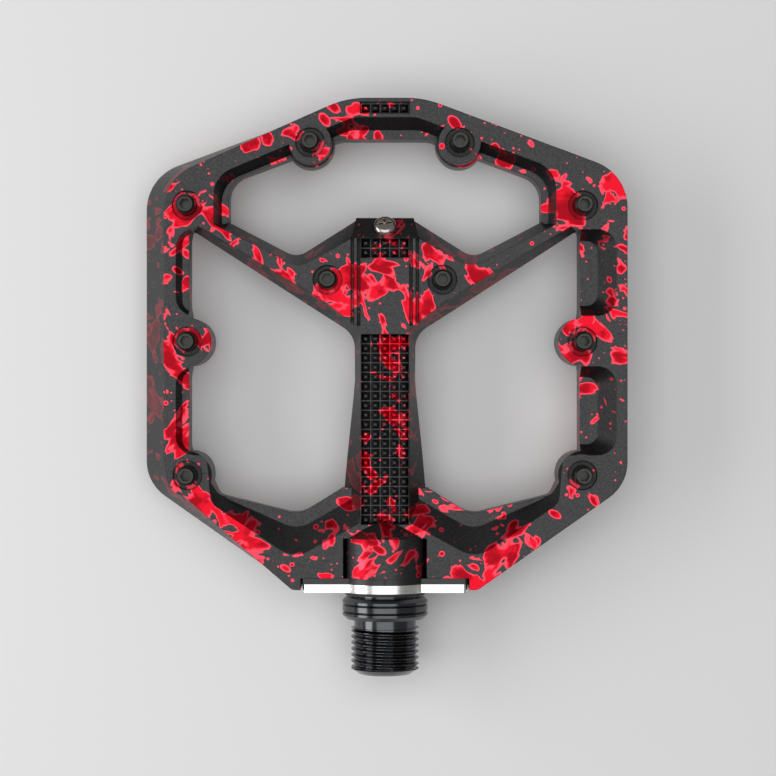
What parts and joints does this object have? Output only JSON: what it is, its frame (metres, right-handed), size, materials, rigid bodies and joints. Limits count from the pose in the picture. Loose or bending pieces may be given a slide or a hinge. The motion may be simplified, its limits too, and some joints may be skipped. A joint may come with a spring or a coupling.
{
  "type": "flat pedal",
  "caption": "Thin double-sided bicycle platform pedal with a Y-shaped web, screw-in traction pins on both faces and a threaded axle.",
  "frame": {"origin": "on the axle axis, where the crank thread starts (1.9 mm outside the crank shoulder)", "axes": "+Z is the front tread face's normal, the axle lies along Y with the crank thread towards -Y, +X is the right of the front view"},
  "size_m": [0.1008, 0.1203, 0.0204],
  "materials": {
    "body_finish": "charcoal grainy anodised finish with red splatter",
    "pin_steel": "black oxide",
    "bare_plate": "bare machined",
    "dark_plate": "dark anodised",
    "axle_steel": "black glossy plated steel",
    "screw_steel": "polished zinc plated",
    "bearing_steel": "ground bearing steel",
    "bushing_polymer": "moulded bearing polymer",
    "seal_rubber": "matt black",
    "cage_brass": "pressed"
  },
  "bodies": {
    "platform": {"platform_body": "body_finish", "end_cap": "body_finish", "end_cap_oring": "seal_rubber", "grease_port_screw": "screw_steel", "bearing_outer_race": "bearing_steel", "bearing_shields": "bearing_steel", "inboard_bushing": "bushing_polymer", "lip_seal": "seal_rubber", "spacer_plate": "dark_plate", "end_plate": "bare_plate", "end_plate_screws": "axle_steel", "traction_pins_front": "pin_steel", "traction_pins_rear": "pin_steel"},
    "axle": {"spindle": "axle_steel", "thrust_washer": "bearing_steel", "bearing_inner_race": "bearing_steel", "nut_washer": "bearing_steel", "lock_nut": "screw_steel"},
    "ball_cage": {"bearing_balls": "bearing_steel", "bearing_cage": "cage_brass"}
  },
  "joints": [
    {"name": "axle_spin", "type": "hinge", "parent": "platform", "child": "axle", "pos_m": [0, 0, 0], "axis": [0, 1, 0], "continuous": true},
    {"name": "cage_spin", "type": "hinge", "parent": "platform", "child": "ball_cage", "pos_m": [0, 0.0707, 0], "axis": [0, 1, 0], "continuous": true}
  ],
  "couplings": [
    {"joint": "cage_spin", "follows": "axle_spin", "ratio": 0.4143}
  ]
}
